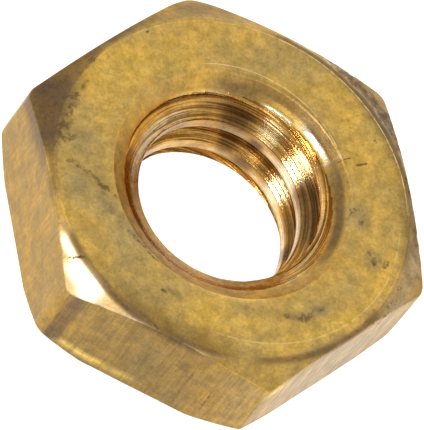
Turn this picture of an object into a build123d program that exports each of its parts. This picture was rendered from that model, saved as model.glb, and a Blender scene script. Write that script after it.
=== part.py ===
"""Thin brass hex nut, 1/4 - 20 UNC thread, 7/16 inch across the flats.

One piece with no moving parts. Millimetres, +Z up.
Origin: centre of the bottom face, on the thread's axis.
Two of the six flats face +X and -X.
"""

import math
import os

from build123d import *
from build123d.topology import SkipClean

# Hexagon
ACROSS_FLATS = 11.11
THICKNESS = 3.39
EDGE_ROUNDING = 0.44

# Chamfered corners: the radius where each cone leaves its face, and its slope from that face
TOP_FACE_RADIUS = 5.34
TOP_CHAMFER_ANGLE = 27.5
BOTTOM_FACE_RADIUS = 5.73
BOTTOM_CHAMFER_ANGLE = 36.5

# Right-hand internal thread, 20 to the inch, 60 degree form
PITCH = 1.27
MAJOR_RADIUS = 3.175
MINOR_RADIUS = 2.56
FLANK_ANGLE = 30.0
ROOT_FLAT = PITCH / 8

# Height of the lowest full crest's centre, on the +X side
CREST_HEIGHT = 0.624

# Countersinks at the two ends of the thread
TOP_SINK_RADIUS = 3.655
TOP_SINK_DEPTH = 0.88
BOTTOM_SINK_RADIUS = 2.85
BOTTOM_SINK_DEPTH = 0.29

# How far cutting tools run past the metal
OVERRUN = 0.4

# Groove turns laid out below the lowest full crest
TURNS_BELOW = 2

# The tapping drill's hole is laid out in this many equal sectors
BORE_SECTORS = 3


def revolved(points):
    """A solid of revolution about Z from (radius, height) corners."""
    return revolve(make_face(Plane.XZ * Polyline(*points, close=True)), Axis.Z)


def hexagon_blank():
    """A slice of hexagonal bar with softly rounded vertical edges."""
    hexagon = RegularPolygon(ACROSS_FLATS / 2, 6, major_radius=False, rotation=30)
    bar = extrude(hexagon, THICKNESS)
    return fillet(bar.edges().filter_by(Axis.Z), EDGE_ROUNDING)


def turned_envelope():
    """The two cones that trim the hexagon's corners, as one solid."""
    top_slope = math.tan(math.radians(TOP_CHAMFER_ANGLE))
    bottom_slope = math.tan(math.radians(BOTTOM_CHAMFER_ANGLE))
    rise = THICKNESS + TOP_FACE_RADIUS * top_slope + BOTTOM_FACE_RADIUS * bottom_slope
    rim_radius = rise / (top_slope + bottom_slope)
    rim_height = (rim_radius - BOTTOM_FACE_RADIUS) * bottom_slope
    return revolved(
        [
            (0, 0),
            (BOTTOM_FACE_RADIUS, 0),
            (rim_radius, rim_height),
            (TOP_FACE_RADIUS, THICKNESS),
            (0, THICKNESS),
        ]
    )


def top_countersink():
    slope = (TOP_SINK_RADIUS - MINOR_RADIUS) / TOP_SINK_DEPTH
    floor = THICKNESS - TOP_SINK_RADIUS / slope
    mouth_radius = TOP_SINK_RADIUS + OVERRUN * slope
    return revolved([(0, floor), (mouth_radius, THICKNESS + OVERRUN), (0, THICKNESS + OVERRUN)])


def bottom_countersink():
    slope = (BOTTOM_SINK_RADIUS - MINOR_RADIUS) / BOTTOM_SINK_DEPTH
    roof = BOTTOM_SINK_RADIUS / slope
    mouth_radius = BOTTOM_SINK_RADIUS + OVERRUN * slope
    return revolved([(0, roof), (mouth_radius, -OVERRUN), (0, -OVERRUN)])


def groove_turn(index):
    """One turn of the helical groove; turn 0 starts below the nut."""
    start = CREST_HEIGHT + PITCH / 2 + (index - TURNS_BELOW) * PITCH
    inner_radius = MINOR_RADIUS - OVERRUN / 2
    half_root = ROOT_FLAT / 2
    half_mouth = half_root + (MAJOR_RADIUS - inner_radius) * math.tan(math.radians(FLANK_ANGLE))
    corners = [
        (inner_radius, start - half_mouth),
        (MAJOR_RADIUS, start - half_root),
        (MAJOR_RADIUS, start + half_root),
        (inner_radius, start + half_mouth),
    ]
    profile = make_face(Plane.XZ * Polyline(*corners, close=True))
    helix = Helix(PITCH, PITCH, MINOR_RADIUS, center=(0, 0, start))
    return sweep(profile, path=helix, is_frenet=True)


def drill_sector(index):
    """One sector of the tapping drill's hole."""
    sector = Cylinder(
        MINOR_RADIUS,
        THICKNESS + 2 * OVERRUN,
        arc_size=360 / BORE_SECTORS,
        align=(Align.NONE, Align.NONE, Align.MIN),
    )
    return Pos(0, 0, -OVERRUN) * Rot(0, 0, index * 360 / BORE_SECTORS) * sector


def hex_nut():
    nut = (hexagon_blank() & turned_envelope()) - top_countersink() - bottom_countersink()
    turns = TURNS_BELOW + math.ceil(THICKNESS / PITCH) + 1
    # faces are left unmerged, so every crest face keeps to one sector of the wall
    with SkipClean():
        for index in range(BORE_SECTORS):
            nut = nut - drill_sector(index)
        # one turn at a time: the groove is not cut cleanly in one pass
        for index in range(turns):
            nut = nut - groove_turn(index)
    return nut.solid()


os.makedirs("parts", exist_ok=True)
nut = hex_nut()
nut.label = "hex_nut"
nut.color = Color(0.72, 0.55, 0.25)
export_step(nut, "parts/hex_nut.step")
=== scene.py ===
"""Thin brass hex nut, 1/4 - 20, built as one dense mesh around the CAD frame.

The mesh is a closed ring of rows, each row going once round the axis: bottom face, bottom chamfer,
six sides, top chamfer, washer face and countersink lip. The bore's rows climb with the thread, so
its crests and flanks have clean edges. Sizes are in millimetres until the mesh is made, and angles
on the nut are in degrees anticlockwise from +X, where the six flats face 0, 60, 120 ... degrees.
"""

import math

import bpy
import numpy as np
from mathutils import Matrix, Vector, noise


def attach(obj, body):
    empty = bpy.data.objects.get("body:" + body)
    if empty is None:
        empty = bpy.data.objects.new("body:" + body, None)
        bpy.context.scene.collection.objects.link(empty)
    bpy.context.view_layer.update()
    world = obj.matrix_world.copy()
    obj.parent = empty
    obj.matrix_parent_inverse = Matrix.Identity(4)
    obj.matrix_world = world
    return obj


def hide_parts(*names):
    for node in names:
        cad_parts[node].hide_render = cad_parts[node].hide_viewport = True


MM = 0.001

# Body, as in the CAD, but for a slightly steeper top chamfer
ACROSS_FLATS = 11.11
THICKNESS = 3.39
CORNER_RADIUS = 0.44
FACE_CHAMFER_SLOPE = math.tan(math.radians(29.0))
FOOT_RADIUS = 5.73
FOOT_CHAMFER_SLOPE = math.tan(math.radians(36.5))

# The turned washer face is slightly off the nut's axis
FACE_RADIUS = 5.38
FACE_OFFSET = 0.10
FACE_OFFSET_ANGLE = math.radians(255)

# Worn corners: angle, depth worn away and half width in degrees
WORN_CORNERS = ((90, 0.10, 4.0), (210, 0.02, 3.0), (330, 0.02, 3.0))

# A drawn facet beside the corner at 270 degrees: direction it faces and distance from the axis
FACET_ANGLE = math.radians(244.5)
FACET_DISTANCE = 5.692

# Thread, as in the CAD
PITCH = 1.27
CREST_RADIUS = 2.56
ROOT_RADIUS = 3.175
FLANK_SLOPE = math.tan(math.radians(30))
CREST_HEIGHT = 0.624
SINK_RADIUS = 3.655
SINK_DEPTH = 0.88
SINK_SLOPE = (SINK_RADIUS - CREST_RADIUS) / SINK_DEPTH

# How widely the edges in the bore are rounded
CREST_SOFTNESS = 0.05
ROOT_SOFTNESS = 0.08
EXIT_SOFTNESS = 0.04
SINK_SOFTNESS = 0.02

# Burnished lands on the countersink, where its slope eases: from angle, to angle, and the low and
# high end of the land
SINK_LANDS = ((13, 36, 3.065, 3.140), (41, 62, 2.975, 3.035))
LAND_SLOPE = 1 / 0.54
LAND_FADE = 3

# The tapped hole's rolled exit at the bottom face, which stands inside the thread's root
EXIT_RADIUS = 2.69

# Mesh density. The profile's runs are bottom face, bottom chamfer, side, top chamfer and washer face.
COLUMNS = 432
CORNER_CROWDING = 0.105
PITCH_ROWS = 52
EDGE_GUARD = 0.03
PROFILE_CUTS = (7, 3, 12, 14, 26)

# How far the rounding reaches from each corner of the profile, and the most of a run that it takes
PROFILE_BEVELS = (0, 0.05, 0.06, 0.04, 0.05, 0)
BEVEL_SHARE = 0.45
BEVEL_STEPS = (0.25, 0.5, 0.75)

# Rounding at the two mouths of the bore, and the smallest chamfer at the bottom face
MOUTH_ROUNDING = 0.03
SMALLEST_FOOT = 0.06

# A bore vertex this near to a mouth joins the mouth's own row
MOUTH_SNAP = 1e-4

# Rows laid out beyond the last that is needed, and a length too small to matter
SPARE_ROWS = 3
TINY = 1e-6

# Camera
CAMERA_AZIMUTH = math.radians(-43.37)
CAMERA_ELEVATION = math.radians(55.30)
CAMERA_ROLL = math.radians(38.12)
CAMERA_DISTANCE = 0.2310
CAMERA_LENS = 671.5
CAMERA_AIM_RIGHT = 0.575 * MM
CAMERA_AIM_UP = 0.650 * MM

# Zones of the surface
UNDERSIDE, SIDE, CHAMFER, FACE, DISH, BORE, CREST = range(7)

# A bore vertex is countersink or crest when it is this near to the cone or the crest's radius
SINK_TOLERANCE = 0.02
CREST_TOLERANCE = 0.015

# Plain colour and roughness of the brass in each zone
ZONE_COLOUR = {
    UNDERSIDE: (0.66, 0.42, 0.12),
    SIDE: (0.40, 0.24, 0.056),
    CHAMFER: (0.47, 0.285, 0.07),
    FACE: (0.615, 0.395, 0.105),
    DISH: (0.64, 0.39, 0.10),
    BORE: (0.72, 0.40, 0.10),
    CREST: (0.60, 0.33, 0.09),
}
ZONE_ROUGHNESS = {
    UNDERSIDE: 0.45,
    SIDE: 0.45,
    CHAMFER: 0.34,
    FACE: 0.45,
    DISH: 0.38,
    BORE: 0.07,
    CREST: 0.20,
}

# Patches of colour: angle, radius, height, half length round the axis, half width towards the
# axis, half height, turn in degrees, strength. Lengths in mm.
TINTS = {
    # olive drab drawn side
    (0.27, 0.17, 0.049): [
        (238, 5.9, 1.7, 2.4, 1.0, 3.0, 0, 1.0),
    ],
    # pale pinkish oxide
    (0.49, 0.345, 0.18): [
        (300, 5.8, 1.3, 3.0, 0.45, 2.2, 0, 0.9),
    ],
    # brown tarnish
    (0.175, 0.106, 0.048): [
        (150, 5.85, 3.1, 1.4, 0.65, 0.7, 0, 1.0),
        (165, 5.60, 3.2, 0.8, 0.3, 0.4, 0, 0.9),
        (126, 5.65, 3.2, 1.7, 0.30, 0.4, 0, 0.8),
        (112, 5.65, 3.2, 1.0, 0.18, 0.4, 0, 0.5),
        (5, 5.6, 3.2, 2.6, 0.5, 0.6, 0, 0.6),
        (30, 5.8, 3.1, 1.4, 0.6, 0.7, 0, 0.5),
        (340, 5.7, 3.1, 1.0, 0.5, 0.7, 0, 0.45),
        (213.3, 6.25, 1.5, 0.24, 0.6, 3.0, 0, 0.9),
        (88, 5.8, 3.1, 1.0, 0.3, 0.5, 0, 0.5),
        (190, 5.64, 3.33, 1.3, 0.06, 0.05, 0, 0.6),
    ],
    # painted highlight: a thin bright line across the countersink
    (1.0, 0.80, 0.50): [
        (15, 3.35, 3.15, 0.05, 0.40, 0.4, 0, 0.8),
    ],
    # gold flecks along the foot of the drawn side
    (0.90, 0.60, 0.13): [
        (217, 6.1, 0.50, 0.30, 0.5, 0.10, 0, 0.8),
        (223, 5.8, 0.42, 0.50, 0.5, 0.07, 0, 0.8),
        (233, 5.6, 0.48, 0.60, 0.5, 0.06, 0, 0.7),
        (275, 6.2, 2.6, 0.40, 0.5, 0.30, 0, 0.6),
    ],
    # yellow, fresher brass
    (0.75, 0.47, 0.095): [
        (128, 4.6, 3.39, 1.5, 0.6, 1.0, 0, 0.8),
        (104, 4.3, 3.39, 1.0, 0.5, 1.0, 0, 0.6),
        (258, 4.4, 3.39, 1.2, 0.4, 1.0, 0, 0.6),
        (290, 5.05, 3.39, 2.0, 0.22, 1.0, 0, 0.7),
        (20, 4.5, 3.39, 0.9, 0.6, 1.0, 0, 0.5),
        (330, 5.1, 3.39, 1.2, 0.22, 1.0, 0, 0.6),
    ],
    # dull greyish green film
    (0.48, 0.34, 0.13): [
        (172, 4.5, 3.39, 1.6, 0.7, 1.0, 0, 0.7),
        (205, 3.9, 3.39, 1.4, 0.5, 1.0, 0, 0.6),
        (345, 3.8, 3.39, 0.5, 0.4, 1.0, 0, 0.8),
        (60, 4.4, 3.39, 0.9, 0.5, 1.0, 0, 0.3),
        (275, 4.0, 3.39, 1.3, 0.3, 1.0, 0, 0.5),
        (225, 4.3, 3.39, 1.4, 0.6, 1.0, 0, 0.5),
    ],
    # greyish brown smudges on the face
    (0.36, 0.26, 0.115): [
        (177, 4.60, 3.39, 0.42, 0.22, 1.0, -30, 0.60),
        (174, 4.08, 3.39, 0.45, 0.22, 1.0, -30, 0.60),
        (187, 4.00, 3.39, 0.40, 0.26, 1.0, -30, 0.55),
        (196, 3.80, 3.39, 0.55, 0.16, 1.0, -20, 0.55),
        (206, 3.78, 3.39, 0.60, 0.12, 1.0, -10, 0.50),
        (162, 4.60, 3.39, 0.40, 0.30, 1.0, 0, 0.45),
        (292, 4.36, 3.39, 0.62, 0.16, 1.0, 10, 0.75),
        (284, 4.28, 3.39, 0.25, 0.14, 1.0, 30, 0.60),
        (228, 4.60, 3.39, 0.45, 0.20, 1.0, 0, 0.45),
        (233, 4.22, 3.39, 0.35, 0.14, 1.0, 0, 0.50),
        (328, 4.58, 3.39, 0.36, 0.26, 1.0, 0, 0.65),
        (344, 3.97, 3.39, 0.40, 0.22, 1.0, 0, 0.50),
        (61, 5.01, 3.39, 0.50, 0.16, 1.0, 0, 0.55),
    ],
    # smoky film on the far side of the countersink
    (0.25, 0.15, 0.05): [
        (40, 3.54, 3.31, 2.4, 0.18, 0.3, 0, 0.95),
        (350, 3.38, 3.18, 1.3, 0.10, 0.2, 0, 0.5),
    ],
    # grey brown ring at the foot of the countersink
    (0.20, 0.125, 0.05): [
        (345, 3.30, 3.10, 1.8, 0.19, 0.19, 0, 0.95),
        (71, 3.30, 3.12, 0.9, 0.20, 0.2, 0, 0.80),
        (30, 3.43, 3.21, 1.9, 0.05, 0.05, 0, 0.70),
    ],
    # bright gold on the near side of the countersink
    (0.92, 0.62, 0.19): [
        (255, 3.55, 3.30, 1.3, 0.16, 0.3, 0, 0.8),
        (228, 3.35, 3.15, 2.2, 0.16, 0.2, 0, 0.6),
        (278, 3.35, 3.15, 1.4, 0.16, 0.2, 0, 0.6),
    ],
    # copper orange just inside the countersink
    (0.66, 0.31, 0.05): [
        (140, 3.12, 2.97, 2.0, 0.18, 0.22, 0, 0.9),
        (330, 3.12, 2.95, 1.3, 0.12, 0.20, 0, 0.8),
        (180, 3.05, 2.9, 1.2, 0.20, 0.25, 0, 0.6),
    ],
    # bright orange lip on the near side
    (1.0, 0.70, 0.27): [
        (262, 3.05, 2.87, 2.2, 0.30, 0.40, 0, 1.0),
        (230, 2.75, 2.50, 3.2, 0.22, 0.50, 0, 1.0),
        (97, 3.10, 2.95, 0.8, 0.14, 0.16, 0, 0.8),
    ],
    # pale line along the top of the thread
    (0.86, 0.56, 0.24): [
        (345, 2.95, 2.82, 2.3, 0.05, 0.06, 0, 0.9),
    ],
    # pinkish cream ribbon where the countersink cuts the last crest
    (0.95, 0.74, 0.46): [
        (133, 2.74, 2.63, 1.6, 0.14, 0.16, 0, 1.0),
        (170, 2.82, 2.68, 1.0, 0.08, 0.09, 0, 1.0),
    ],
    # cream crests
    (0.90, 0.64, 0.30): [
        (352, 2.56, 1.80, 1.10, 0.1, 0.16, 0, 0.9),
        (28, 2.56, 1.98, 0.65, 0.1, 0.14, 0, 0.9),
        (355, 2.56, 0.62, 0.80, 0.1, 0.14, 0, 0.9),
        (30, 2.56, 0.66, 0.60, 0.1, 0.14, 0, 0.7),
        (68, 2.56, 2.05, 0.36, 0.1, 0.13, 0, 0.8),
        (68, 2.56, 0.82, 0.36, 0.1, 0.10, 0, 0.8),
    ],
    # tarnished crests on the left
    (0.36, 0.19, 0.055): [
        (103, 2.56, 2.25, 1.00, 0.1, 0.22, 0, 0.9),
        (103, 2.56, 0.95, 1.00, 0.1, 0.22, 0, 0.9),
    ],
    # dark brown burnt patches inside the bore
    (0.11, 0.055, 0.024): [
        (38, 2.8, 1.25, 0.20, 0.5, 0.25, 0, 0.5),
        (51, 2.56, 2.00, 0.24, 0.1, 0.20, 0, 0.8),
        (51, 2.56, 0.85, 0.34, 0.1, 0.22, 0, 0.8),
        (52, 2.85, 1.40, 0.16, 0.4, 0.22, 0, 0.9),
        (65, 2.85, 1.05, 0.34, 0.4, 0.40, 0, 0.8),
        (70, 2.85, 2.3, 0.60, 0.4, 0.50, 0, 0.9),
        (340, 2.62, 0.7, 0.25, 0.2, 0.30, 0, 0.8),
    ],
    # brown grey patches inside the bore
    (0.23, 0.125, 0.045): [
        (350, 2.85, 2.2, 1.1, 0.4, 0.35, 0, 0.9),
        (352, 2.85, 1.0, 0.9, 0.4, 0.30, 0, 0.8),
        (5, 2.85, 2.2, 0.35, 0.4, 0.35, 0, 0.8),
    ],
    # bright gold inside the bore
    (0.86, 0.52, 0.12): [
        (104, 2.75, 1.0, 0.95, 0.3, 0.50, 0, 0.9),
        (98, 2.85, 2.3, 0.30, 0.3, 0.35, 0, 0.9),
    ],
    # painted highlight: pale colour that whitens the two highlights of the bore
    (0.97, 0.86, 0.56): [
        (22, 2.70, 1.5, 0.40, 0.4, 1.2, 0, 1.0),
        (27, 3.30, 3.11, 0.62, 0.10, 0.06, 0, 1.0),
        (51, 3.17, 3.01, 0.50, 0.08, 0.05, 0, 1.0),
    ],
    # painted highlight of the small softbox, light brass at the top of the thread
    (0.90, 0.70, 0.34): [
        (48, 2.90, 2.45, 0.36, 0.3, 0.30, 0, 0.9),
    ],
    # copper orange between the highlights
    (0.42, 0.20, 0.04): [
        (27, 3.10, 2.94, 0.95, 0.13, 0.09, 0, 0.9),
    ],
}

# Patches of colour that stay on the top chamfer
CHAMFER_TINTS = {
    # pale pinkish oxide
    (0.49, 0.345, 0.18): [
        (322, 5.75, 3.1, 0.8, 0.3, 0.5, 0, 0.5),
        (336, 5.80, 3.1, 0.6, 0.3, 0.5, 0, 0.6),
        (42, 5.6, 3.2, 0.3, 0.15, 0.3, 0, 0.6),
    ],
    # tan fringe of the lit corner: painted fall-off of its highlight
    (0.46, 0.31, 0.15): [
        (210, 5.90, 3.05, 1.90, 0.60, 0.5, 0, 0.9),
    ],
    # lighter brass beside the left corner and at the bottom
    (0.60, 0.38, 0.10): [
        (178, 5.58, 3.25, 0.90, 0.22, 0.4, 0, 0.8),
        (272, 5.90, 3.10, 1.90, 0.50, 0.5, 0, 0.7),
    ],
    # cream patches in the tarnish on the right
    (0.66, 0.48, 0.24): [
        (56, 5.52, 3.28, 0.34, 0.10, 0.3, 0, 0.8),
        (47, 5.60, 3.22, 0.20, 0.10, 0.3, 0, 0.7),
        (24, 5.60, 3.22, 0.30, 0.10, 0.3, 0, 0.7),
        (8, 5.52, 3.28, 0.40, 0.08, 0.3, 0, 0.6),
    ],
    # clean polished brass, painted pale so that the corner's highlight shows white
    (0.95, 0.78, 0.48): [
        (210, 5.76, 3.15, 0.62, 0.30, 0.6, 0, 1.0),
        (199.5, 5.66, 3.25, 0.40, 0.16, 0.4, 0, 0.9),
    ],
    # painted highlight along the rounded edge above the drawn side
    (1.0, 0.80, 0.50): [
        (216, 6.12, 3.0, 0.50, 0.10, 0.3, 0, 0.9),
        (226, 5.78, 3.1, 0.70, 0.07, 0.3, -15, 0.9),
        (243, 5.60, 3.2, 1.20, 0.05, 0.3, 0, 0.9),
    ],
}

# Patches of the top chamfer that are polished or dulled: the roughness they bring, and the patch
CHAMFER_POLISH = {
    0.50: [
        (210, 5.90, 3.05, 1.90, 0.60, 0.5, 0, 0.9),
    ],
    0.22: [
        (210, 5.76, 3.15, 0.60, 0.28, 0.6, 0, 1.0),
        (199.5, 5.66, 3.25, 0.38, 0.15, 0.4, 0, 0.8),
    ],
}

# The same, in the countersink and the bore
POLISH = {
    0.14: [
        (27, 3.30, 3.11, 0.80, 0.12, 0.07, 0, 1.0),
        (50, 3.17, 3.01, 0.62, 0.08, 0.05, 0, 1.0),
    ],
    0.42: [
        (133, 2.74, 2.63, 1.6, 0.14, 0.16, 0, 1.0),
        (230, 2.75, 2.50, 3.2, 0.30, 0.50, 0, 1.0),
    ],
}

# Ragged dark marks, listed in the same way as the tints
GRIME = [
    # stain that creeps in from the corner at 150 degrees
    (150, 5.30, 3.35, 0.75, 0.40, 0.5, 0, 0.58),
    (158, 5.20, 3.35, 0.55, 0.36, 0.5, 0, 0.60),
    (164, 5.32, 3.35, 0.36, 0.34, 0.5, 0, 0.60),
    (162, 4.88, 3.39, 0.26, 0.20, 0.5, 0, 0.55),
    (133, 5.38, 3.35, 0.90, 0.12, 0.5, 0, 0.55),
    (142, 5.10, 3.39, 0.30, 0.12, 0.5, 0, 0.50),
    (110, 5.20, 3.39, 0.09, 0.05, 0.5, 0, 0.80),
    # crack-like chain
    (171, 4.92, 3.39, 0.16, 0.16, 0.5, -80, 0.52),
    (173.5, 4.62, 3.39, 0.26, 0.12, 0.5, -55, 0.58),
    (175.5, 4.37, 3.39, 0.20, 0.12, 0.5, -68, 0.60),
    (178.5, 4.19, 3.39, 0.28, 0.12, 0.5, -25, 0.60),
    (182, 3.97, 3.39, 0.22, 0.12, 0.5, -60, 0.60),
    (185.5, 3.74, 3.37, 0.26, 0.10, 0.5, -35, 0.56),
    (178, 4.30, 3.39, 1.00, 0.30, 0.5, -47, 0.36),
    # beside the hole
    (208, 3.72, 3.37, 0.50, 0.09, 0.5, -12, 0.62),
    (219, 3.70, 3.37, 0.35, 0.08, 0.5, 0, 0.60),
    (230.5, 4.36, 3.39, 0.13, 0.08, 0.5, 0, 0.75),
    (234.5, 4.25, 3.39, 0.30, 0.05, 0.5, -19, 0.62),
    # smear near the lower edge
    (283, 4.32, 3.39, 0.34, 0.13, 0.5, 30, 0.56),
    (289, 4.47, 3.39, 0.42, 0.15, 0.5, 0, 0.60),
    (297, 4.42, 3.39, 0.34, 0.08, 0.5, 0, 0.58),
    (289, 4.42, 3.39, 0.95, 0.24, 0.5, 0, 0.40),
    # right of the hole
    (329.5, 4.35, 3.39, 0.28, 0.14, 0.5, 0, 0.52),
    (328, 4.60, 3.39, 0.20, 0.15, 0.5, 0, 0.60),
    (329, 4.93, 3.39, 0.24, 0.12, 0.5, 0, 0.60),
    (347, 3.72, 3.37, 0.30, 0.22, 0.5, 0, 0.52),
    (341, 3.98, 3.39, 0.25, 0.20, 0.5, 0, 0.50),
    (9.3, 4.15, 3.39, 0.05, 0.26, 0.5, 0, 0.90),
    (10, 4.85, 3.39, 0.05, 0.14, 0.5, 0, 0.75),
    (17, 4.90, 3.39, 0.09, 0.10, 0.5, 0, 0.65),
    (22, 4.26, 3.39, 0.10, 0.05, 0.5, 0, 0.60),
    (13, 3.70, 3.35, 0.035, 0.28, 0.5, 0, 0.75),
    (62, 4.55, 3.39, 0.80, 0.34, 0.5, 0, 0.40),
    # chamfers
    (203.3, 5.7, 3.2, 0.042, 0.30, 0.5, 32, 0.82),
    (30, 5.75, 3.15, 2.6, 0.36, 0.5, 0, 0.60),
    (0, 5.50, 3.3, 1.6, 0.14, 0.5, 0, 0.48),
    (318, 5.65, 3.2, 1.6, 0.16, 0.5, 0, 0.48),
    (343, 5.65, 3.2, 0.9, 0.25, 0.5, 0, 0.42),
    # sides: the dark corner and draw lines
    (242.4, 5.56, 1.2, 0.020, 0.3, 1.2, 0, 0.70),
    (251.9, 5.68, 1.6, 0.020, 0.3, 1.3, 0, 0.60),
    (259.2, 5.88, 1.2, 0.045, 0.3, 0.9, 0, 0.62),
    # countersink
    (69, 3.3, 3.1, 0.5, 0.33, 0.5, 0, 0.42),
    (122, 2.75, 2.65, 0.9, 0.10, 0.15, 0, 0.44),
]

# Patches that are pitted deeper
PITTED = [
    (343, 5.85, 3.1, 1.8, 0.45, 0.6, 0, 1.0),
    (36, 5.75, 3.1, 2.4, 0.40, 0.6, 0, 1.0),
    (152, 5.50, 3.2, 1.6, 0.45, 0.6, 0, 0.7),
    (285, 6.10, 3.0, 0.5, 0.40, 0.5, 0, 0.8),
]
PIT_DEPTH = 0.05
PIT_SIZE = 0.32

# Wear all over: size and depth of the broad waves and of the ripples on them, and the share of it
# that reaches the countersink and the bore
WAVE_SIZE = 1.6
WAVE_DEPTH = 0.010
RIPPLE_SIZE = 0.45
RIPPLE_DEPTH = 0.004
BORE_WEAR = 0.3

# A second turned circle on the washer face, off the axis: its middle, radius, depth and width of
# the step, the angles between which it shows, and the angle over which it fades
STEP_MIDDLE = (0.386, -0.375)
STEP_RADIUS = 4.69
STEP_DEPTH = 0.035
STEP_WIDTH = 0.06
STEP_FROM = 245
STEP_TO = 345
STEP_FADE = 15

# Painted highlights, fine lines on rims: middle, radius, half width, from angle, to angle, strength
PAINTED_HIGHLIGHT_ARCS = [
    ((-0.076, 0.208), 3.68, 0.022, 10, 98, 0.8),
    ((-0.026, -0.097), 5.34, 0.030, 350, 75, 0.8),
    (STEP_MIDDLE, 4.65, 0.035, 250, 345, 0.40),
]
ARC_FADE = 10
ARC_DEPTH = 0.06
# colour of the painted highlight lines
PAINTED_HIGHLIGHT_COLOUR = (1.0, 0.80, 0.42, 1)

# How plainly each of the six sides shows its draw lines, from the side at 0 degrees on
DRAW_LINES = (0.8, 0.6, 0.6, 0.45, 0.8, 1.5)

# Dirt lies in the corner round the washer face: from angle, to angle, strength
FACE_LINE = ((165, 190, 0.75), (190, 262, 1.0), (262, 318, 0.85), (352, 70, 0.9))
FACE_LINE_WIDTH = 0.12
FACE_LINE_DEPTH = 0.25
FACE_LINE_FADE = 8
FACE_LINE_COLOUR = (0.20, 0.125, 0.055)
FACE_LINE_TINT = 0.85
FACE_LINE_ROUGHNESS = 0.3
FACE_LINE_GRIME = 0.38

# Chatter marks in the bore: the middle of the side where they are smeared over, how far from it
# they start to sharpen, over what angle, the least that shows, and the share on the crests
SMEARED_BORE_ANGLE = 225
SMEAR_HALF_ANGLE = 60
SMEAR_FADE = 40
SMEARED_CHATTER = 0.12
CREST_CHATTER = 0.35

# Shades that multiply the brass (one is painted shade in chatter grooves), and the colour of dirt
DULL_SHADE = (0.86, 0.90, 1.02, 1)
WARM_SHADE = (1.05, 1.02, 0.86, 1)
CHATTER_PAINTED_SHADE = (0.36, 0.27, 0.19, 1)
DIRT_COLOUR = (0.12, 0.08, 0.04, 1)

# Radius of the circle in noise space that stands for one turn of the thread's helix
HELIX_RADIUS = 4.0
BUMP_DISTANCE = 0.010 * MM

# Softboxes: the direction they stand in, the length of their sides and their power
LIGHT_DISTANCE = 0.5
KEY_LIGHT = ((-0.441, -0.086, 0.893), 0.085, 0.85)
SMALL_LIGHT = ((-0.179, -0.400, 0.899), 0.07, 0.13)
FLOOR_REACH = 0.6


def start_scene():
    """An empty scene with a world and plain colour handling."""
    for name in ("Cube", "Light", "Camera"):
        if name in bpy.data.objects:
            bpy.data.objects.remove(bpy.data.objects[name])
    scene = bpy.context.scene
    if scene.world is None:
        scene.world = bpy.data.worlds.new("World")
    scene.view_settings.view_transform = "Standard"
    scene.view_settings.look = "None"


# ---------------------------------------------------------------- shape


def column_angles():
    """Angles round the axis, closer together at the six rounded corners."""
    even = np.arange(COLUMNS) * 2 * math.pi / COLUMNS
    return even + CORNER_CROWDING * np.sin(6 * even)


def sector_fade(degrees, start, end, width):
    """1 inside a sector round the axis, fading to 0 at its two ends over a width in degrees."""
    along = (degrees - start) % 360
    span = (end - start) % 360
    return np.clip(along / width, 0, 1) * np.clip((span - along) / width, 0, 1)


def angle_from(angle, place):
    """Signed angle from a place to each angle, the short way round, in radians."""
    return (angle - place + math.pi) % (2 * math.pi) - math.pi


def hexagon_radius(angle):
    """Distance from the axis to the rounded and worn hexagon."""
    half = ACROSS_FLATS / 2
    off_flat = np.abs(angle_from(6 * angle, 0)) / 6
    flat = half / np.cos(off_flat)
    centre = (half - CORNER_RADIUS) / math.cos(math.pi / 6)
    off_corner = math.pi / 6 - off_flat
    across = centre * np.sin(off_corner)
    arc = centre * np.cos(off_corner) + np.sqrt(np.maximum(CORNER_RADIUS**2 - across**2, 0))
    tangent = math.atan((half - CORNER_RADIUS) * math.tan(math.pi / 6) / half)
    radius = np.where(off_flat > tangent, arc, flat)
    for corner, depth, width in WORN_CORNERS:
        off = np.degrees(angle_from(angle, math.radians(corner)))
        radius = radius - depth * np.exp(-((off / width) ** 2))
    # far from the facet its plane lies well outside the nut
    off_facet = angle_from(angle, FACET_ANGLE)
    facet = FACET_DISTANCE / np.maximum(np.cos(off_facet), 0.2)
    return np.minimum(radius, facet)


def face_radius(angle):
    """Distance from the axis to the edge of the washer face, which is turned off centre."""
    off = angle - FACE_OFFSET_ANGLE
    return FACE_OFFSET * np.cos(off) + np.sqrt(FACE_RADIUS**2 - (FACE_OFFSET * np.sin(off)) ** 2)


def soft_min(a, b, width):
    """The smaller of the two, rounded where they cross."""
    blend = np.clip(0.5 + 0.5 * (b - a) / width, 0, 1)
    return b * (1 - blend) + a * blend - width * blend * (1 - blend) / 2


def soft_max(a, b, width):
    """The larger of the two, rounded where they cross."""
    return -soft_min(-a, -b, width)


def sink_radius(angle, height):
    """Radius of the countersink's cone, with its burnished lands."""
    cone = SINK_RADIUS - (THICKNESS - height) * SINK_SLOPE
    extra = np.zeros(np.broadcast(angle, height).shape)
    for start, end, low, high in SINK_LANDS:
        fade = sector_fade(np.degrees(angle), start, end, LAND_FADE)
        rise = np.clip(height - low, 0, high - low) * (LAND_SLOPE - SINK_SLOPE)
        back = np.maximum(height - high, 0) * SINK_SLOPE
        extra = np.maximum(extra, fade * np.maximum(rise - back, 0))
    return cone + extra


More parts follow.
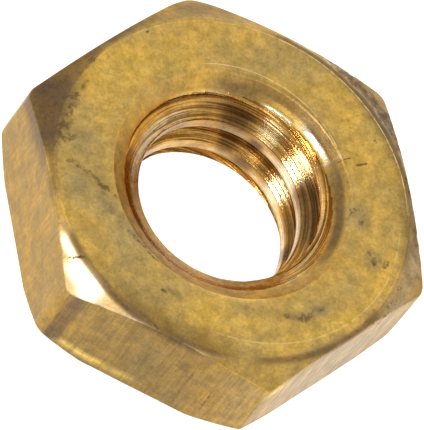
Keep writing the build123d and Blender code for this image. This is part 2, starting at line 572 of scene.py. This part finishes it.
def thread_radius(angle, height):
    """Radius of the open bore at this angle and height."""
    rise = height - CREST_HEIGHT - PITCH * angle / (2 * math.pi)
    from_crest = np.abs((rise / PITCH + 0.5) % 1 - 0.5) * PITCH
    crest_half = PITCH / 2 - PITCH / 16 - (ROOT_RADIUS - CREST_RADIUS) * FLANK_SLOPE
    flank = CREST_RADIUS + (from_crest - crest_half) / FLANK_SLOPE
    groove = soft_min(soft_max(flank, CREST_RADIUS, CREST_SOFTNESS), ROOT_RADIUS, ROOT_SOFTNESS)
    exit_lip = EXIT_RADIUS + height / FLANK_SLOPE
    cone = sink_radius(angle, height)
    return soft_max(soft_min(groove, exit_lip, EXIT_SOFTNESS), cone, SINK_SOFTNESS)


def ring_positions(angle, radius, height):
    """Points from angles, radii and heights."""
    return np.stack([radius * np.cos(angle), radius * np.sin(angle), height], axis=-1)


class Rows:
    """Collects rows of vertices that go round the axis, and the faces between them."""

    def __init__(self, angle):
        self.angle = angle
        self.points = []
        self.zones = []
        self.edges = []
        self.count = 0
        self.faces = []
        self.last = None

    def keep(self, points, zone, edge):
        """Stores vertices with their zone and how much they lie on a rounded edge."""
        self.points.append(points)
        self.zones.append(np.full(len(points), zone))
        self.edges.append(np.full(len(points), edge))
        self.count += len(points)

    def add(self, radius, height, zone, edge=0.0):
        """One more row, joined to the row before it."""
        radius = np.broadcast_to(radius, self.angle.shape)
        height = np.broadcast_to(height, self.angle.shape)
        index = np.arange(len(self.angle)) + self.count
        self.keep(ring_positions(self.angle, radius, height), zone, edge)
        if self.last is not None:
            self.join(self.last, index)
        self.last = index

    def join(self, low, high):
        """Faces between two rows."""
        for i in range(len(low)):
            k = (i + 1) % len(low)
            self.faces.append((low[i], low[k], high[k], high[i]))


def add_profile(rows, corners, cuts, bevels, zones):
    """Rows along straight runs between corners, each corner rounded over its bevel length."""
    corners = [np.stack(np.broadcast_arrays(c[0], c[1], rows.angle)[:2], axis=-1) for c in corners]
    runs = []
    for a, b in zip(corners, corners[1:]):
        length = np.maximum(np.linalg.norm(b - a, axis=-1, keepdims=True), TINY)
        runs.append(((b - a) / length, length))
    for k, (direction, length) in enumerate(runs):
        begin = np.minimum(bevels[k], length * BEVEL_SHARE)
        end = np.minimum(bevels[k + 1], length * BEVEL_SHARE)
        first = corners[k] + direction * begin
        last = corners[k + 1] - direction * end
        if k > 0:
            last_direction, last_length = runs[k - 1]
            before = corners[k] - last_direction * np.minimum(bevels[k], last_length * BEVEL_SHARE)
            for t in BEVEL_STEPS:
                p = before * (1 - t) ** 2 + corners[k] * 2 * t * (1 - t) + first * t * t
                rows.add(p[:, 0], p[:, 1], zones[k - 1] if t < 0.5 else zones[k], edge=1.0)
        run = np.linalg.norm(last - first, axis=-1, keepdims=True)
        guard = np.minimum(EDGE_GUARD, run / cuts[k])
        near, far = first + direction * guard, last - direction * guard
        rows.add(first[:, 0], first[:, 1], zones[k])
        for t in np.linspace(0, 1, cuts[k]):
            p = near * (1 - t) + far * t
            rows.add(p[:, 0], p[:, 1], zones[k])
        rows.add(last[:, 0], last[:, 1], zones[k])


def bore_heights(angle, top_height, bottom_height):
    """Heights of rows that climb with the thread and fall at the same places in every pitch."""
    turns = math.ceil((top_height - bottom_height) / PITCH) + 1
    levels = turns * PITCH_ROWS + PITCH_ROWS + SPARE_ROWS
    start = bottom_height - PITCH - TINY
    phase = CREST_HEIGHT / PITCH + 0.5
    low = start - (start / PITCH - phase) % (1 / PITCH_ROWS) * PITCH
    heights = low + np.arange(levels)[:, None] * PITCH / PITCH_ROWS
    return heights + PITCH * angle[None, :] / (2 * math.pi)


def bore_ring(index, j, i):
    """Corners of one patch of the bore. Those that share a vertex of a mouth's row count once."""
    levels, columns = index.shape
    if i < columns - 1:
        ring = (index[j + 1, i], index[j + 1, i + 1], index[j, i + 1], index[j, i])
    else:
        # after one turn the rows have climbed by one pitch
        up = min(j + PITCH_ROWS, levels - 1)
        up_next = min(j + 1 + PITCH_ROWS, levels - 1)
        ring = (index[j + 1, i], index[up_next, 0], index[up, 0], index[j, i])
    return tuple(dict.fromkeys(ring))


def add_bore(rows, top_height, bottom_height):
    """The bore from the top down to the bottom, on rows that climb with the thread."""
    angle = rows.angle
    columns = len(angle)
    heights = bore_heights(angle, top_height, bottom_height)
    top_row = rows.last
    bottom_row = np.arange(columns) + rows.count
    bottom_radius = thread_radius(angle, bottom_height)
    rows.keep(ring_positions(angle, bottom_radius, np.full(columns, bottom_height)), BORE, 1.0)
    below = heights <= bottom_height + MOUTH_SNAP
    above = heights >= top_height - MOUTH_SNAP
    between = ~(below | above)
    index = np.where(below, bottom_row, top_row)
    index[between] = rows.count + np.arange(np.count_nonzero(between))
    wall_angle = np.broadcast_to(angle, heights.shape)[between]
    wall_height = heights[between]
    wall_radius = thread_radius(wall_angle, wall_height)
    rows.keep(ring_positions(wall_angle, wall_radius, wall_height), BORE, 0.0)
    for j in range(len(heights) - 1):
        for i in range(columns):
            ring = bore_ring(index, j, i)
            if len(ring) > 2:
                rows.faces.append(ring)
    rows.last = bottom_row


def nut_rows():
    """All rows of the nut before its surface is worn."""
    angle = column_angles()
    rows = Rows(angle)
    side = hexagon_radius(angle)
    face = face_radius(angle)
    side_top = THICKNESS - (side - face) * FACE_CHAMFER_SLOPE
    foot = np.minimum(FOOT_RADIUS, side - SMALLEST_FOOT)
    side_foot = np.maximum((side - FOOT_RADIUS) * FOOT_CHAMFER_SLOPE, SMALLEST_FOOT)
    bottom_height = MOUTH_ROUNDING
    top_height = THICKNESS - MOUTH_ROUNDING
    profile = [
        (thread_radius(angle, bottom_height) + MOUTH_ROUNDING, 0.0),
        (foot, 0.0),
        (side, side_foot),
        (side, side_top),
        (face, THICKNESS),
        (SINK_RADIUS + MOUTH_ROUNDING, THICKNESS),
    ]
    zones = (UNDERSIDE, UNDERSIDE, SIDE, CHAMFER, FACE)
    add_profile(rows, profile, PROFILE_CUTS, PROFILE_BEVELS, zones)
    rows.add(thread_radius(angle, top_height), top_height, DISH, edge=0.6)
    first = np.arange(len(angle))
    add_bore(rows, top_height, bottom_height)
    rows.join(rows.last, first)
    return rows


def patch_weight(points, place):
    """Soft weight of a patch: 1 times its strength at its middle, fading over its half sizes."""
    degrees, radius, height, along, across, tall, turn, strength = place
    out = np.hypot(points[:, 0], points[:, 1]) - radius
    round_it = angle_from(np.arctan2(points[:, 1], points[:, 0]), math.radians(degrees)) * radius
    c, s = math.cos(math.radians(turn)), math.sin(math.radians(turn))
    u = (round_it * c + out * s) / along
    v = (out * c - round_it * s) / across
    w = (points[:, 2] - height) / tall
    return strength * np.exp(-(u**4) - v**4 - w**4)


def surface_noise(points, size, seed):
    """Smooth noise of about -1 to 1 with features of the given size in mm."""
    shift = Vector((seed * 7.3, seed * 3.1, seed * 5.7))
    return np.array([noise.noise(Vector(p) / size + shift) for p in points.tolist()])


def zone_fields(rows):
    """Zone of every vertex, with the countersink told from the thread by its radius."""
    points = np.concatenate(rows.points)
    zones = np.concatenate(rows.zones).astype(int)
    radius = np.hypot(points[:, 0], points[:, 1])
    cone = sink_radius(np.arctan2(points[:, 1], points[:, 0]), points[:, 2])
    in_bore = zones == BORE
    on_cone = np.abs(radius - cone) < SINK_TOLERANCE
    zones[in_bore & on_cone & (radius > ROOT_RADIUS)] = DISH
    zones[in_bore & (radius < CREST_RADIUS + CREST_TOLERANCE)] = CREST
    return points, zones, np.concatenate(rows.edges)


def blend_patches(values, points, patches, where=1.0):
    """Values with each patch's own value laid over them in turn."""
    for value, places in patches.items():
        for place in places:
            weight = (patch_weight(points, place) * where)[:, None]
            values = values * (1 - weight) + np.array(value) * weight
    return values


def surface_fields(points, zones):
    """Colour, grime and roughness of every vertex."""
    colour = np.array([ZONE_COLOUR[z] for z in zones])
    rough = np.array([ZONE_ROUGHNESS[z] for z in zones])
    on_chamfer = (zones == CHAMFER).astype(float)
    colour = blend_patches(colour, points, TINTS)
    colour = blend_patches(colour, points, CHAMFER_TINTS, on_chamfer)
    rough = blend_patches(rough[:, None], points, POLISH)
    rough = blend_patches(rough, points, CHAMFER_POLISH, on_chamfer)[:, 0]
    line = face_line(points)
    tinted = FACE_LINE_TINT * line[:, None]
    colour = colour * (1 - tinted) + np.array(FACE_LINE_COLOUR) * tinted
    rough = rough + FACE_LINE_ROUGHNESS * line
    grime = FACE_LINE_GRIME * line
    for place in GRIME:
        grime = np.maximum(grime, patch_weight(points, place))
    return colour, grime, rough


def highlight_arc_fades(points):
    """How strongly each painted highlight arc shows, by angle, in the three channels of a colour."""
    angle = np.degrees(np.arctan2(points[:, 1], points[:, 0]))
    on_top = points[:, 2] > THICKNESS - ARC_DEPTH
    fades = np.zeros((len(points), 3))
    for k, (_, _, _, start, end, strength) in enumerate(PAINTED_HIGHLIGHT_ARCS):
        fades[:, k] = strength * sector_fade(angle, start, end, ARC_FADE) * on_top
    return fades


def side_field(points, zones):
    """How plainly the draw lines show at each vertex."""
    angle = np.degrees(np.arctan2(points[:, 1], points[:, 0])) % 360
    which = np.round(angle / 60).astype(int) % 6
    return (zones == SIDE) * np.array(DRAW_LINES)[which]


def face_line(points):
    """Dirt in the corner between the washer face and the chamfer."""
    angle = np.arctan2(points[:, 1], points[:, 0])
    radius = np.hypot(points[:, 0], points[:, 1])
    off_line = (radius - face_radius(angle) - FACE_LINE_WIDTH / 2) / FACE_LINE_WIDTH
    near = np.exp(-(off_line**4)) * (points[:, 2] > THICKNESS - FACE_LINE_DEPTH)
    weight = np.zeros(len(points))
    for start, end, strength in FACE_LINE:
        fade = sector_fade(np.degrees(angle), start, end, FACE_LINE_FADE)
        weight = np.maximum(weight, strength * fade)
    return near * weight


def worn_points(points, zones, normals):
    """Points moved inwards a little where the surface is wavy or dented."""
    wave = 0.5 + 0.5 * surface_noise(points, WAVE_SIZE, 1)
    ripple = 0.5 + 0.5 * surface_noise(points, RIPPLE_SIZE, 2)
    depth = WAVE_DEPTH * wave + RIPPLE_DEPTH * ripple
    depth = np.where(zones >= DISH, depth * BORE_WEAR, depth)
    pitted = np.zeros(len(points))
    for place in PITTED:
        pitted = np.maximum(pitted, patch_weight(points, place))
    depth = depth + PIT_DEPTH * pitted * np.maximum(surface_noise(points, PIT_SIZE, 3), 0)
    angle = np.degrees(np.arctan2(points[:, 1], points[:, 0]))
    from_middle = np.hypot(points[:, 0] - STEP_MIDDLE[0], points[:, 1] - STEP_MIDDLE[1])
    fade = sector_fade(angle, STEP_FROM, STEP_TO, STEP_FADE)
    outside = np.clip((from_middle - STEP_RADIUS) / STEP_WIDTH, 0, 1)
    depth = depth + np.where(zones == FACE, STEP_DEPTH * outside * fade, 0)
    return points - normals * depth[:, None]


def add_attribute(mesh, name, values):
    """Stores a colour or a number for every vertex of a mesh."""
    if values.ndim == 2:
        layer = mesh.attributes.new(name, "FLOAT_COLOR", "POINT")
        layer.data.foreach_set("color", np.c_[values, np.ones(len(values))].ravel())
    else:
        layer = mesh.attributes.new(name, "FLOAT", "POINT")
        layer.data.foreach_set("value", values)


def bore_field(points, zones):
    """How plainly the chatter marks show: less on the crests and on the side that is smeared."""
    angle = np.arctan2(points[:, 1], points[:, 0])
    off_smear = np.degrees(np.abs(angle_from(angle, math.radians(SMEARED_BORE_ANGLE))))
    sharp = np.clip((off_smear - SMEAR_HALF_ANGLE) / SMEAR_FADE, SMEARED_CHATTER, 1)
    return sharp * ((zones == BORE) + CREST_CHATTER * (zones == CREST))


def make_nut():
    """The nut's mesh and object, standing in for the CAD node hex_nut."""
    rows = nut_rows()
    points, zones, edges = zone_fields(rows)
    faces = [tuple(int(v) for v in face) for face in rows.faces]
    mesh = bpy.data.meshes.new("nut")
    mesh.from_pydata((points * MM).tolist(), [], faces)
    mesh.update()
    normals = np.array([v.normal[:] for v in mesh.vertices])
    worn = worn_points(points, zones, normals)
    mesh.vertices.foreach_set("co", (worn * MM).ravel())
    mesh.shade_smooth()
    colour, grime, rough = surface_fields(points, zones)
    add_attribute(mesh, "tint", colour)
    add_attribute(mesh, "grime", grime)
    add_attribute(mesh, "rough", rough)
    add_attribute(mesh, "edge", edges)
    add_attribute(mesh, "arcs", highlight_arc_fades(points))
    add_attribute(mesh, "side", side_field(points, zones))
    add_attribute(mesh, "flat", ((zones == FACE) | (zones == UNDERSIDE)).astype(float))
    add_attribute(mesh, "bore", bore_field(points, zones))
    mesh.update()
    nut = bpy.data.objects.new("nut_body", mesh)
    bpy.context.scene.collection.objects.link(nut)
    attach(nut, "root")
    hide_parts("hex_nut")
    return nut


# ---------------------------------------------------------------- material


class Graph:
    """Short calls for making and linking shader nodes."""

    def __init__(self, tree):
        self.tree = tree

    def node(self, kind, inputs=None, **settings):
        made = self.tree.nodes.new("ShaderNode" + kind)
        for name, value in settings.items():
            setattr(made, name, value)
        for name, value in (inputs or {}).items():
            self.put(made.inputs[name], value)
        return made

    def put(self, socket, value):
        if isinstance(value, bpy.types.NodeSocket):
            self.tree.links.new(value, socket)
        else:
            socket.default_value = value

    def math(self, operation, a, b=0.0):
        return self.node("Math", {0: a, 1: b}, operation=operation).outputs[0]

    def add(self, a, b):
        return self.math("ADD", a, b)

    def multiply(self, a, b):
        return self.math("MULTIPLY", a, b)

    def attribute(self, name, output="Fac"):
        return self.node("Attribute", attribute_name=name).outputs[output]

    def noise(self, vector, scale, detail, roughness):
        inputs = {"Vector": vector, "Scale": scale, "Detail": detail, "Roughness": roughness}
        return self.node("TexNoise", inputs).outputs["Fac"]

    def scaled(self, vector, x, y, z):
        made = self.node("VectorMath", {0: vector, 1: (x, y, z)}, operation="MULTIPLY")
        return made.outputs[0]

    def step(self, value, low, high, to_low=0.0, to_high=1.0):
        """Smooth step of a value between two limits."""
        limits = {"From Min": low, "From Max": high, "To Min": to_low, "To Max": to_high}
        inputs = {"Value": value, **limits}
        return self.node("MapRange", inputs, interpolation_type="SMOOTHSTEP").outputs[0]

    def blend(self, factor, a, b):
        """Number between a and b."""
        return self.node("Mix", {0: factor, 2: a, 3: b}, data_type="FLOAT").outputs[0]

    def shaded(self, colour, shade):
        """Colour multiplied by a number."""
        made = self.node("VectorMath", {0: colour, "Scale": shade}, operation="SCALE")
        return made.outputs[0]

    def mix(self, factor, a, b, blend="MIX"):
        made = self.node("Mix", {0: factor, 6: a, 7: b}, data_type="RGBA", blend_type=blend)
        return made.outputs[2]


def painted_highlight_lines(graph, x, y):
    """Strength of the painted highlight arcs on the face."""
    fades = graph.node("SeparateXYZ", {0: graph.attribute("arcs", "Color")})
    total = 0.0
    for k, (middle, radius, half_width, _, _, _) in enumerate(PAINTED_HIGHLIGHT_ARCS):
        right = graph.math("POWER", graph.add(x, -middle[0]), 2)
        up = graph.math("POWER", graph.add(y, -middle[1]), 2)
        off_line = graph.add(graph.math("SQRT", graph.add(right, up)), -radius)
        near = graph.step(graph.math("ABSOLUTE", off_line), half_width, 0.0)
        total = graph.add(total, graph.multiply(near, fades.outputs[k]))
    return total


def helix_vector(graph, x, y, z):
    """Coordinates that stay the same along the thread's helix, repeat each pitch and have no seam."""
    turn = graph.math("ARCTAN2", y, x)
    rise = graph.multiply(z, 2 * math.pi / PITCH)
    phase = graph.math("SUBTRACT", rise, turn)
    across = graph.multiply(graph.math("COSINE", phase), HELIX_RADIUS)
    along = graph.multiply(graph.math("SINE", phase), HELIX_RADIUS)
    slow = graph.add(graph.multiply(x, 0.25), graph.multiply(y, 0.11))
    return graph.node("CombineXYZ", {0: across, 1: along, 2: slow}).outputs[0]


class BrassFields:
    """The coordinates, noises and vertex attributes that the brass is mixed from."""

    def __init__(self, graph):
        place = graph.scaled(graph.node("TexCoord").outputs["Object"], 1 / MM, 1 / MM, 1 / MM)
        split = graph.node("SeparateXYZ", {0: place})
        self.x, self.y, z = split.outputs[0], split.outputs[1], split.outputs[2]
        squares = graph.add(graph.multiply(self.x, self.x), graph.multiply(self.y, self.y))
        radius = graph.math("SQRT", squares)

        self.side = graph.attribute("side")
        self.flat = graph.attribute("flat")
        self.bore = graph.attribute("bore")
        self.edge = graph.attribute("edge")
        self.grime = graph.attribute("grime")

        # the numbers are features per mm, detail and roughness
        self.broad = graph.noise(place, 0.9, 3.0, 0.55)
        self.cloudy = graph.noise(place, 2.6, 5.0, 0.62)
        self.ragged = graph.noise(place, 4.5, 5.0, 0.70)
        self.fine = graph.noise(place, 12.0, 4.0, 0.7)
        self.specks = graph.noise(place, 26.0, 2.0, 0.6)
        self.drawn = graph.noise(graph.scaled(place, 11.0, 11.0, 0.7), 1.0, 3.0, 0.65)
        self.chatter = graph.noise(helix_vector(graph, self.x, self.y, z), 1.15, 2.0, 0.6)
        rings = graph.node("CombineXYZ", {0: radius}).outputs[0]
        self.turned = graph.noise(rings, 14.0, 3.0, 0.6)


def clean_colour(graph, fields):
    """Mottled brass, draw lines on the sides, and painted shade in the chatter marks of the bore."""
    tint = graph.attribute("tint", "Color")
    dull = graph.mix(1.0, tint, DULL_SHADE, "MULTIPLY")
    warm = graph.mix(1.0, tint, WARM_SHADE, "MULTIPLY")
    colour = graph.mix(graph.step(fields.broad, 0.32, 0.68), dull, warm)
    shade = graph.step(fields.fine, 0.25, 0.75, 0.82, 1.17)
    shade = graph.multiply(shade, graph.step(fields.cloudy, 0.30, 0.70, 0.83, 1.17))
    shade = graph.multiply(shade, graph.step(fields.ragged, 0.28, 0.50, 0.84, 1.02))
    streak = graph.multiply(fields.side, graph.step(fields.drawn, 0.32, 0.68, -0.20, 0.18))
    shade = graph.multiply(shade, graph.add(streak, 1.0))
    # rounded edges lighter, partly wear and partly painted highlight
    shade = graph.multiply(shade, graph.blend(fields.edge, 1.0, 1.15))
    colour = graph.shaded(colour, shade)
    # painted shade: the grooves of the chatter marks are darkened in the colour
    groove = graph.mix(1.0, colour, CHATTER_PAINTED_SHADE, "MULTIPLY")
    lines = graph.multiply(graph.step(fields.chatter, 0.58, 0.42), fields.bore)
    return graph.mix(lines, colour, groove)


def pit_strength(graph, fields):
    """Small dark pits, in clusters."""
    clusters = graph.step(fields.cloudy, 0.45, 0.60)
    return graph.multiply(graph.step(fields.specks, 0.68, 0.74), clusters)


def dirt_strength(graph, fields, pits):
    """Grime with a ragged edge, and the dirt in the pits."""
    spread = graph.multiply(graph.add(fields.ragged, -0.5), 1.3)
    spread = graph.add(spread, graph.multiply(graph.add(fields.fine, -0.5), 0.7))
    dirt = graph.step(graph.add(fields.grime, spread), 0.40, 0.72)
    return graph.math("MAXIMUM", graph.multiply(dirt, 0.75), graph.multiply(pits, 0.6))


def brass_colour(graph, fields, dirt):
    """Clean colour under the dirt, and the painted highlight lines over it."""
    colour = graph.mix(dirt, clean_colour(graph, fields), DIRT_COLOUR)
    # painted highlight along the arcs, broken up by noise
    broken = graph.step(fields.ragged, 0.35, 0.55, 0.3, 1.0)
    bright = graph.multiply(painted_highlight_lines(graph, fields.x, fields.y), broken)
    return graph.mix(bright, colour, PAINTED_HIGHLIGHT_COLOUR)


def brass_roughness(graph, fields, dirt):
    """The zone's own roughness, uneven all over and duller under dirt."""
    rough = graph.attribute("rough")
    rough = graph.add(rough, graph.multiply(graph.add(fields.cloudy, -0.5), 0.15))
    rough = graph.add(rough, graph.multiply(graph.add(fields.fine, -0.5), 0.10))
    return graph.add(rough, graph.multiply(dirt, 0.35))


def brass_relief(graph, fields, pits):
    """Height of the fine relief: grain, draw lines, turned rings, chatter marks and pits."""
    relief = graph.add(graph.multiply(fields.fine, 0.35), graph.multiply(fields.cloudy, 0.5))
    relief = graph.add(relief, graph.multiply(graph.multiply(fields.drawn, fields.side), 0.5))
    relief = graph.add(relief, graph.multiply(graph.multiply(fields.turned, fields.flat), 0.20))
    relief = graph.add(relief, graph.multiply(graph.multiply(fields.chatter, fields.bore), 4.0))
    return graph.math("SUBTRACT", relief, graph.multiply(pits, 0.5))


def brass_material():
    """Old brass: mottled gold, dark grime, drawn sides, turned face, chatter marks in the thread."""
    material = bpy.data.materials.new("worn_brass")
    material.use_nodes = True
    graph = Graph(material.node_tree)
    shader = material.node_tree.nodes["Principled BSDF"]
    fields = BrassFields(graph)
    pits = pit_strength(graph, fields)
    dirt = dirt_strength(graph, fields, pits)
    graph.put(shader.inputs["Base Color"], brass_colour(graph, fields, dirt))
    shader.inputs["Metallic"].default_value = 1.0
    graph.put(shader.inputs["Roughness"], brass_roughness(graph, fields, dirt))
    height = brass_relief(graph, fields, pits)
    bump = graph.node("Bump", {"Strength": 1.0, "Distance": BUMP_DISTANCE, "Height": height})
    graph.put(shader.inputs["Normal"], bump.outputs[0])
    return material


# ---------------------------------------------------------------- studio


def camera_turn(azimuth, elevation, roll):
    """The direction from the nut to the camera, and the camera's rotation."""
    back = Vector(
        (
            math.sin(azimuth) * math.cos(elevation),
            -math.cos(azimuth) * math.cos(elevation),
            math.sin(elevation),
        )
    )
    return back, back.to_track_quat("Z", "Y").to_matrix() @ Matrix.Rotation(roll, 3, "Z")


def make_camera():
    back, turn = camera_turn(CAMERA_AZIMUTH, CAMERA_ELEVATION, CAMERA_ROLL)
    camera = bpy.data.objects.new("camera", bpy.data.cameras.new("camera"))
    camera.data.lens = CAMERA_LENS
    camera.data.sensor_width = 36
    camera.data.clip_start = 0.01
    camera.data.clip_end = 5
    aim = turn @ Vector((CAMERA_AIM_RIGHT, CAMERA_AIM_UP, 0))
    camera.matrix_world = Matrix.Translation(aim + back * CAMERA_DISTANCE) @ turn.to_4x4()
    bpy.context.scene.collection.objects.link(camera)
    bpy.context.scene.camera = camera


def make_floor():
    """A plain floor that glows a little, as on a light table, so that it stays white."""
    mesh = bpy.data.meshes.new("floor")
    r = FLOOR_REACH
    mesh.from_pydata([(-r, -r, 0), (r, -r, 0), (r, r, 0), (-r, r, 0)], [], [(0, 1, 2, 3)])
    floor = bpy.data.objects.new("floor", mesh)
    material = bpy.data.materials.new("pale_floor")
    material.use_nodes = True
    shader = material.node_tree.nodes["Principled BSDF"]
    shader.inputs["Base Color"].default_value = (0.5, 0.5, 0.5, 1)
    shader.inputs["Roughness"].default_value = 0.9
    shader.inputs["Emission Color"].default_value = (1, 1, 1, 1)
    shader.inputs["Emission Strength"].default_value = 0.9
    mesh.materials.append(material)
    bpy.context.scene.collection.objects.link(floor)


def softbox(name, direction, width, power):
    """A square soft light that faces the nut from a direction."""
    light = bpy.data.lights.new(name, "AREA")
    light.shape = "RECTANGLE"
    light.size = width
    light.size_y = width
    light.energy = power
    lamp = bpy.data.objects.new(name, light)
    towards = Vector(direction).normalized()
    turn = towards.to_track_quat("Z", "Y").to_matrix().to_4x4()
    lamp.matrix_world = Matrix.Translation(towards * LIGHT_DISTANCE) @ turn
    bpy.context.scene.collection.objects.link(lamp)


def make_lights():
    """A pale studio all round, a little darker overhead, and two softboxes."""
    world = bpy.context.scene.world
    world.use_nodes = True
    graph = Graph(world.node_tree)
    background = world.node_tree.nodes["Background"]
    sky = graph.node("TexCoord").outputs["Generated"]
    up = graph.node("SeparateXYZ", {0: sky}).outputs[2]
    graph.put(background.inputs["Strength"], graph.step(up, 0.05, 0.65, 1.0, 0.82))
    background.inputs["Color"].default_value = (1, 1, 1, 1)
    softbox("key", *KEY_LIGHT)
    softbox("small", *SMALL_LIGHT)


start_scene()
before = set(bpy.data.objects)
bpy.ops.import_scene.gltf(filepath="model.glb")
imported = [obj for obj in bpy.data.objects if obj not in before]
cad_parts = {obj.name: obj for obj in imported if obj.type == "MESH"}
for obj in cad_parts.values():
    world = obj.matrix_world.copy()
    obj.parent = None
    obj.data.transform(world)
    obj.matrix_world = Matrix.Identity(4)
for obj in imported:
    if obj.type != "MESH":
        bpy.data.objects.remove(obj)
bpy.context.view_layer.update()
nut = make_nut()
nut.data.materials.append(brass_material())
make_camera()
make_floor()
make_lights()
